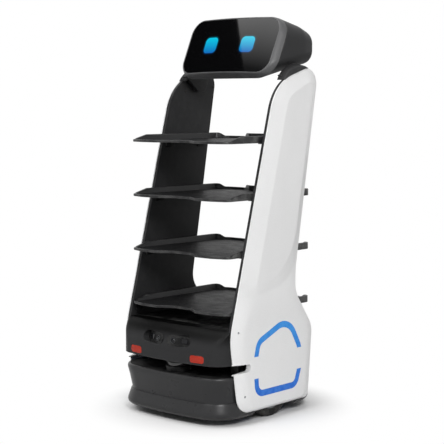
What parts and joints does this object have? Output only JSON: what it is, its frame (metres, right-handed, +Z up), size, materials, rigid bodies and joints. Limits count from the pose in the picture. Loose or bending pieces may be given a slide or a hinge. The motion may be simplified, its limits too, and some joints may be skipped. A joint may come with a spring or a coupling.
{
  "type": "autonomous mobile robot",
  "caption": "Wheeled delivery robot with serving trays between two leaning columns, a tilted face display and a wraparound scanner slot.",
  "frame": {"origin": "centre of the robot's footprint, on the floor", "axes": "+Z up; -Y the front, where the display looks; +X the robot's left-hand side as seen from the front's right"},
  "size_m": [0.414, 0.462, 1.0889],
  "materials": {
    "white_cover": "moulded ABS, satin white",
    "body_charcoal": "moulded ABS, charcoal, satin",
    "dark_panel": "fine-textured dark panel",
    "dark_sheet": "powder-coated sheet, dark grey",
    "tray_plastic": "moulded ABS, fine texture",
    "black_trim": "black plastic",
    "screen": "cover glass over a lit display",
    "bezel": "dark grey plastic",
    "head_grey": "dark grey plastic",
    "light_blue": "translucent light guide, lit blue",
    "lamp_red": "translucent red lens",
    "camera_black": "black camera face with glass lens",
    "steel": "zinc-plated steel",
    "aluminium": "cast aluminium",
    "tyre_rubber": "polyurethane tread",
    "caster_rubber": "grey polyurethane",
    "battery_case": "battery case",
    "board": "circuit board",
    "lidar_window": "dark infrared window",
    "copper": "plated contact strips",
    "stop_red": "red moulded plastic",
    "stop_yellow": "yellow collar"
  },
  "bodies": {
    "chassis": {"front_cover": "body_charcoal", "rear_cover": "body_charcoal", "front_skirt": "body_charcoal", "rear_skirt": "body_charcoal", "lower_deck": "black_trim", "upper_deck": "dark_sheet", "bay_floor": "dark_sheet", "chassis_plate": "steel", "deck_pillars": "aluminium", "battery_pack": "battery_case", "control_box": "dark_panel", "lidar_body": "black_trim", "lidar_window": "lidar_window", "tray_1": "tray_plastic", "tray_2": "tray_plastic", "tray_3": "tray_plastic", "tray_4": "tray_plastic", "tray_brackets": "dark_sheet", "charge_contacts": "copper", "caster_plates": "steel", "screen_glass": "screen", "head_bezel": "bezel", "head_shell": "head_grey", "display_panel": "black_trim", "head_board": "board", "stop_collar": "stop_yellow", "power_ring": "black_trim", "side_shell_left": "white_cover", "side_shell_right": "white_cover", "light_ring_left": "light_blue", "light_ring_right": "light_blue", "side_plate_left": "dark_panel", "side_plate_right": "dark_panel", "upright_left": "steel", "upright_right": "steel", "lamp_left": "lamp_red", "lamp_right": "lamp_red", "depth_camera_left": "camera_black", "depth_camera_right": "camera_black", "pivot_bracket_left": "steel", "pivot_bracket_right": "steel", "head_bracket_left": "dark_panel", "head_bracket_right": "dark_panel"},
    "swing_arm_left": {"drive_arm_left": "steel"},
    "drive_wheel_left": {"drive_tyre_left": "tyre_rubber", "hub_motor_left": "aluminium"},
    "swing_arm_right": {"drive_arm_right": "steel"},
    "drive_wheel_right": {"drive_tyre_right": "tyre_rubber", "hub_motor_right": "aluminium"},
    "caster_swivel_1": {"caster_fork_1": "steel"},
    "caster_roller_1": {"caster_wheel_1": "caster_rubber"},
    "caster_swivel_2": {"caster_fork_2": "steel"},
    "caster_roller_2": {"caster_wheel_2": "caster_rubber"},
    "caster_swivel_3": {"caster_fork_3": "steel"},
    "caster_roller_3": {"caster_wheel_3": "caster_rubber"},
    "caster_swivel_4": {"caster_fork_4": "steel"},
    "caster_roller_4": {"caster_wheel_4": "caster_rubber"},
    "emergency_stop": {"stop_button": "stop_red"},
    "power_switch": {"power_button": "black_trim"}
  },
  "joints": [
    {"name": "suspension_left", "type": "hinge", "parent": "chassis", "child": "swing_arm_left", "pos_m": [-0.137, 0.072, 0.054], "axis": [1, 0, 0], "range_deg": [-4, 3], "stiffness_Nm_per_rad": 90, "springref_deg": 4.01},
    {"name": "drive_spin_left", "type": "hinge", "parent": "swing_arm_left", "child": "drive_wheel_left", "pos_m": [-0.166, 0, 0.076], "axis": [1, 0, 0], "continuous": true},
    {"name": "suspension_right", "type": "hinge", "parent": "chassis", "child": "swing_arm_right", "pos_m": [0.137, 0.072, 0.054], "axis": [1, 0, 0], "range_deg": [-4, 3], "stiffness_Nm_per_rad": 90, "springref_deg": 4.01},
    {"name": "drive_spin_right", "type": "hinge", "parent": "swing_arm_right", "child": "drive_wheel_right", "pos_m": [0.166, 0, 0.076], "axis": [1, 0, 0], "continuous": true},
    {"name": "caster_turn_1", "type": "hinge", "parent": "chassis", "child": "caster_swivel_1", "pos_m": [0.105, -0.155, 0.0677], "axis": [0, 0, 1], "continuous": true},
    {"name": "caster_roll_1", "type": "hinge", "parent": "caster_swivel_1", "child": "caster_roller_1", "pos_m": [0.105, -0.137, 0.025], "axis": [1, 0, 0], "continuous": true},
    {"name": "caster_turn_2", "type": "hinge", "parent": "chassis", "child": "caster_swivel_2", "pos_m": [-0.105, -0.155, 0.0677], "axis": [0, 0, 1], "continuous": true},
    {"name": "caster_roll_2", "type": "hinge", "parent": "caster_swivel_2", "child": "caster_roller_2", "pos_m": [-0.105, -0.137, 0.025], "axis": [1, 0, 0], "continuous": true},
    {"name": "caster_turn_3", "type": "hinge", "parent": "chassis", "child": "caster_swivel_3", "pos_m": [0.105, 0.15, 0.0677], "axis": [0, 0, 1], "continuous": true},
    {"name": "caster_roll_3", "type": "hinge", "parent": "caster_swivel_3", "child": "caster_roller_3", "pos_m": [0.105, 0.168, 0.025], "axis": [1, 0, 0], "continuous": true},
    {"name": "caster_turn_4", "type": "hinge", "parent": "chassis", "child": "caster_swivel_4", "pos_m": [-0.105, 0.15, 0.0677], "axis": [0, 0, 1], "continuous": true},
    {"name": "caster_roll_4", "type": "hinge", "parent": "caster_swivel_4", "child": "caster_roller_4", "pos_m": [-0.105, 0.168, 0.025], "axis": [1, 0, 0], "continuous": true},
    {"name": "stop_press", "type": "slide", "parent": "chassis", "child": "emergency_stop", "axis": [0, -1, 0], "range_m": [0, 0.004], "stiffness_N_per_m": 900, "springref_m": -0.004},
    {"name": "power_press", "type": "slide", "parent": "chassis", "child": "power_switch", "axis": [0, -1, 0], "range_m": [0, 0.002], "stiffness_N_per_m": 900, "springref_m": -0.002}
  ]
}
